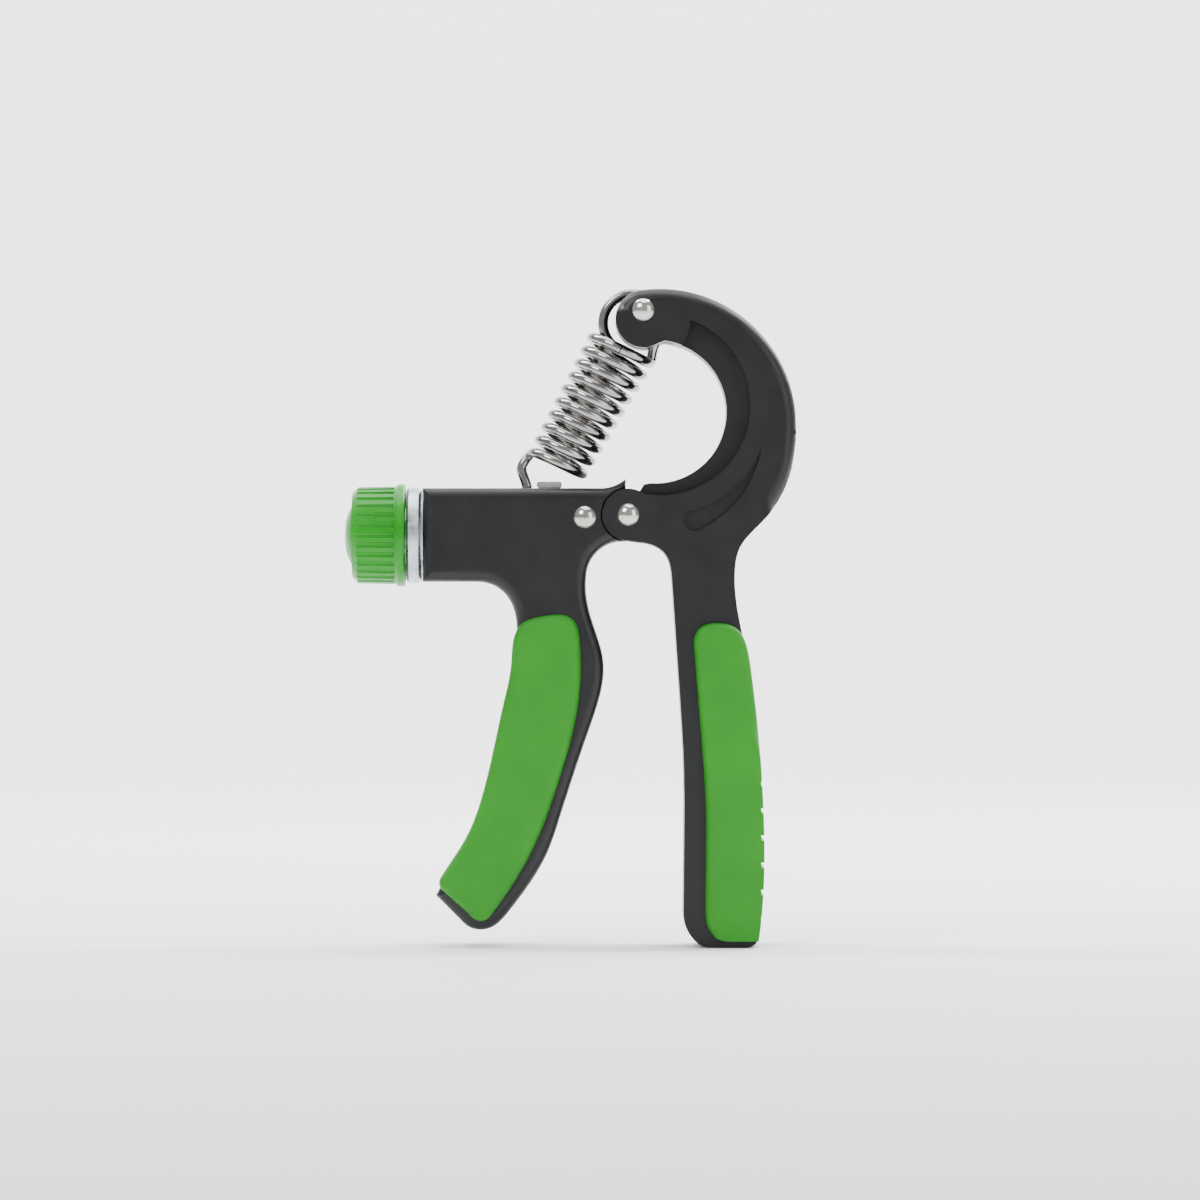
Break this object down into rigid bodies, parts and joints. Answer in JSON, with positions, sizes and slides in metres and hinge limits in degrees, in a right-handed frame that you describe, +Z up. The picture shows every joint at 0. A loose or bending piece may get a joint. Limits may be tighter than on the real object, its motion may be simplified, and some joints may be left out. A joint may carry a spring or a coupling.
{
  "type": "adjustable hand gripper",
  "caption": "Adjustable hand gripper: two soft-covered handles on a pivot, pulled apart by a coil spring whose foot moves along a knob-turned screw.",
  "frame": {"origin": "centre of the bounding box at the level of the palm handle's tip", "axes": "+X from the knob to the palm side, +Y through the thickness to the back, +Z up from the handle tips to the curved arm"},
  "size_m": [0.0919, 0.023, 0.134],
  "materials": {
    "black_plastic": "satin moulded",
    "green_rubber": "soft matte",
    "green_plastic": "semi gloss",
    "silver_ring": "satin",
    "nickel": "polished",
    "spring_steel": "polished dark",
    "steel": "turned",
    "brass": "turned",
    "nylon": "natural"
  },
  "bodies": {
    "finger_side": {"finger_handle": "black_plastic", "finger_grip": "green_rubber", "collar_ring": "silver_ring", "screw_bush": "brass", "end_bush": "brass", "barrel_rivet": "nickel", "pivot_bush": "nylon"},
    "knob_and_screw": {"knob": "green_plastic", "knob_cap": "green_plastic", "knob_screw": "steel", "lead_screw": "steel", "thrust_washer": "steel", "retaining_clip": "steel"},
    "slider": {"slider_nut": "brass", "slider_tab": "steel", "slider_pin": "steel"},
    "palm_side": {"palm_arm": "black_plastic", "palm_grip": "green_rubber", "pivot_rivet": "nickel", "pivot_washers": "nylon", "spring_rivet": "nickel", "spring_sleeve": "nylon"},
    "spring_foot": {"spring_hook": "spring_steel"},
    "spring_low": {"spring_lower_coils": "spring_steel"},
    "spring_high": {"spring_upper_coils": "spring_steel"},
    "spring_top": {"spring_eye": "spring_steel"}
  },
  "joints": [
    {"name": "handle_squeeze", "type": "hinge", "parent": "finger_side", "child": "palm_side", "pos_m": [0.0118, 0, 0.0878], "axis": [0, 1, 0], "range_deg": [-18, 22], "stiffness_Nm_per_rad": 6, "springref_deg": -26.59},
    {"name": "knob_turn", "type": "hinge", "parent": "finger_side", "child": "knob_and_screw", "pos_m": [-0.0382, 0, 0.0837], "axis": [1, 0, 0], "range_deg": [0, 2880]},
    {"name": "slider_travel", "type": "slide", "parent": "finger_side", "child": "slider", "axis": [-1, 0, 0], "range_m": [-0.0001, 0.0081]},
    {"name": "spring_swing", "type": "hinge", "parent": "slider", "child": "spring_foot", "pos_m": [-0.0069, 0, 0.0918], "axis": [0, 1, 0], "range_deg": [-17.24, 20.96], "deforming": ["spring_hook"]},
    {"name": "spring_aim", "type": "hinge", "parent": "spring_foot", "child": "spring_low", "pos_m": [-0.0069, 0, 0.0918], "axis": [0, 1, 0], "range_deg": [-0.2, 9.6], "deforming": ["spring_lower_coils"]},
    {"name": "spring_stretch", "type": "slide", "parent": "spring_low", "child": "spring_high", "axis": [0.5019, 0, 0.8649], "range_m": [-0.00564, 0.00684], "deforming": ["spring_upper_coils"]},
    {"name": "spring_draw", "type": "slide", "parent": "spring_high", "child": "spring_top", "axis": [0.5019, 0, 0.8649], "range_m": [-0.0001, 0.0048], "deforming": ["spring_eye"]}
  ],
  "couplings": [
    {"joint": "slider_travel", "follows": "knob_turn", "m_per_rad": 0.00015915},
    {"joint": "spring_swing", "follows": "handle_squeeze", "ratio": 0.93},
    {"joint": "spring_aim", "follows": "knob_turn", "ratio": 0.0032292},
    {"joint": "spring_stretch", "follows": "handle_squeeze", "m_per_rad": 0.0173},
    {"joint": "spring_draw", "follows": "knob_turn", "m_per_rad": 0.000091514}
  ]
}
